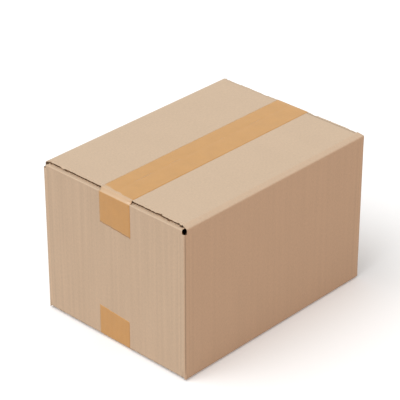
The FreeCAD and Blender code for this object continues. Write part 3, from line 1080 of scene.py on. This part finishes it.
def tape_material():
    material, shader = new_material("packing_tape")
    nodes = Nodes(material)
    cloudy = nodes.noise((60, 60), detail=3.0)
    fine = nodes.noise((500, 500), detail=2.0)
    tone = nodes.math("MULTIPLY", nodes.around(cloudy, 1, CLOUD_TONE), nodes.around(fine, 1, FINE_TONE))
    # Paler where the tape is loose, and as a painted highlight on the bend
    mix = nodes.add("ShaderNodeMix", data_type="VECTOR")
    nodes.join(nodes.part("loose", "X"), mix.inputs["Factor"])
    nodes.join(nodes.tint(TAPE, tone), mix.inputs["A"])
    nodes.join(nodes.tint(LOOSE_TAPE_AND_HIGHLIGHT, tone), mix.inputs["B"])
    nodes.join(mix.outputs["Result"], shader.inputs["Base Color"])
    shader.inputs["Roughness"].default_value = 0.32
    shader.inputs["Specular IOR Level"].default_value = 0.6
    nodes.join(nodes.bump(cloudy, 0.1 * MM, 0.4), shader.inputs["Normal"])
    return material


def any_of(nodes, names):
    """1 for a ray of any of these kinds."""
    rays = nodes.add("ShaderNodeLightPath")
    found = rays.outputs[names[0]]
    for name in names[1:]:
        found = nodes.math("MAXIMUM", found, rays.outputs[name])
    return found


SEEN_RAYS = ("Is Camera Ray", "Is Glossy Ray", "Is Transmission Ray")
FLOOR_SEEN = (1.0, 1.0, 1.0)
FLOOR_GLOW = 0.14
FLOOR_BOUNCE = (0.55, 0.49, 0.455)


def floor_material():
    """White where it is seen, but for the shadow, and a duller white where it only reflects light."""
    material, seen = new_material("pale_floor")
    nodes = Nodes(material)
    seen.inputs["Base Color"].default_value = (*FLOOR_SEEN, 1)
    seen.inputs["Roughness"].default_value = 1.0
    seen.inputs["Specular IOR Level"].default_value = 0.0
    seen.inputs["Emission Color"].default_value = (1, 1, 1, 1)
    seen.inputs["Emission Strength"].default_value = FLOOR_GLOW
    bounce = nodes.add("ShaderNodeBsdfDiffuse")
    bounce.inputs["Color"].default_value = (*FLOOR_BOUNCE, 1)
    mix = nodes.add("ShaderNodeMixShader")
    nodes.join(any_of(nodes, SEEN_RAYS), mix.inputs["Fac"])
    nodes.join(bounce.outputs["BSDF"], mix.inputs[1])
    nodes.join(seen.outputs["BSDF"], mix.inputs[2])
    output = next(node for node in nodes.tree.nodes if node.type == "OUTPUT_MATERIAL")
    nodes.join(mix.outputs["Shader"], output.inputs["Surface"])
    return material


FLOOR_REACH = 12.0


def build_stage():
    corners = [(x * FLOOR_REACH, y * FLOOR_REACH, 0) for x, y in ((-1, -1), (1, -1), (1, 1), (-1, 1))]
    mesh = bpy.data.meshes.new("floor")
    mesh.from_pydata(corners, [], [(0, 1, 2, 3)])
    mesh.materials.append(floor_material())
    floor = bpy.data.objects.new("floor", mesh)
    bpy.context.scene.collection.objects.link(floor)


def add_sun(name, strength, spread, colour, towards):
    """A far lamp. towards points from the box to the lamp."""
    lamp = bpy.data.lights.new(name, "SUN")
    lamp.energy = strength
    lamp.angle = math.radians(spread)
    lamp.color = colour
    sun = bpy.data.objects.new(name, lamp)
    sun.rotation_mode = "QUATERNION"
    sun.rotation_quaternion = Vector(towards).to_track_quat("Z", "Y")
    bpy.context.scene.collection.objects.link(sun)


SKY_LIGHT = 0.5
SOFT_LAMP = {"strength": 1.77, "spread": 50, "colour": (1, 1, 1), "towards": (-0.5, 0.2, 0.85)}
WARM_FILL = {"strength": 0.84, "spread": 20, "colour": (1.0, 0.42, 0.12), "towards": (-0.2, -0.98, 0.02)}


def build_light():
    """An even sky that looks white, a soft lamp from above and a weak warm one from the right."""
    world = bpy.data.worlds.new("world")
    bpy.context.scene.world = world
    world.use_nodes = True
    nodes = Nodes(world)
    nodes.tree.nodes.clear()
    backgrounds = []
    for strength in (SKY_LIGHT, 1.0):
        background = nodes.add("ShaderNodeBackground")
        background.inputs["Color"].default_value = (1, 1, 1, 1)
        background.inputs["Strength"].default_value = strength
        backgrounds.append(background)
    mix = nodes.add("ShaderNodeMixShader")
    output = nodes.add("ShaderNodeOutputWorld")
    nodes.join(any_of(nodes, SEEN_RAYS), mix.inputs["Fac"])
    nodes.join(backgrounds[0].outputs["Background"], mix.inputs[1])
    nodes.join(backgrounds[1].outputs["Background"], mix.inputs[2])
    nodes.join(mix.outputs["Shader"], output.inputs["Surface"])
    add_sun("soft_lamp", **SOFT_LAMP)
    add_sun("warm_fill", **WARM_FILL)


# The photo's viewpoint: which way the camera looks, how far it is off and at what it aims
CAMERA_LENS = 164.3
CAMERA_AZIMUTH = math.radians(43.43)
CAMERA_ELEVATION = math.radians(29.51)
CAMERA_DISTANCE = 2.184
CAMERA_TARGET = Vector((0.0108, 0.0200, 0.1164))


def build_camera():
    data = bpy.data.cameras.new("camera")
    data.lens = CAMERA_LENS
    data.sensor_width = 36
    data.clip_start = 0.1
    data.clip_end = 60
    camera = bpy.data.objects.new("camera", data)
    forward = Vector((
        math.cos(CAMERA_AZIMUTH) * math.cos(CAMERA_ELEVATION),
        math.sin(CAMERA_AZIMUTH) * math.cos(CAMERA_ELEVATION),
        -math.sin(CAMERA_ELEVATION),
    ))
    camera.location = CAMERA_TARGET - forward * CAMERA_DISTANCE
    camera.rotation_mode = "QUATERNION"
    camera.rotation_quaternion = forward.to_track_quat("-Z", "Y")
    bpy.context.scene.collection.objects.link(camera)
    bpy.context.scene.camera = camera


# Each cut end takes five seeds, the same ones at the top and the bottom
EDGING_SEED = 100
TAPE_SEED = 71

board = kraft_material()
cut_edge_painted_shade = cut_painted_shade_material()
film = tape_material()

carton = build_carton(board, cut_edge_painted_shade)
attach(carton, "root")
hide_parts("carton")
for wall, wall_name in ((NEAR_SIDE, "near"), (FAR_SIDE, "far")):
    for upper, level_name in ((True, "top"), (False, "bottom")):
        for side in (-1, 1):
            name = f"{level_name}_{wall_name}_flap_end_{'a' if side < 0 else 'b'}"
            seed = EDGING_SEED + wall * 20 + side * 5
            edging = build_edging(name, wall, upper, side, board, cut_edge_painted_shade, seed)
            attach(edging, "root")
for name, low, high, upper in (
    ("top_tape", top_tape_low, top_tape_high, True),
    ("bottom_tape", bottom_tape_low, bottom_tape_high, False),
):
    strip = build_tape(f"{name}_strip", low, high, upper, film, TAPE_SEED)
    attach(strip, "root")
    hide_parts(name)

build_stage()
build_light()
build_camera()
bpy.context.scene.view_settings.view_transform = "Standard"
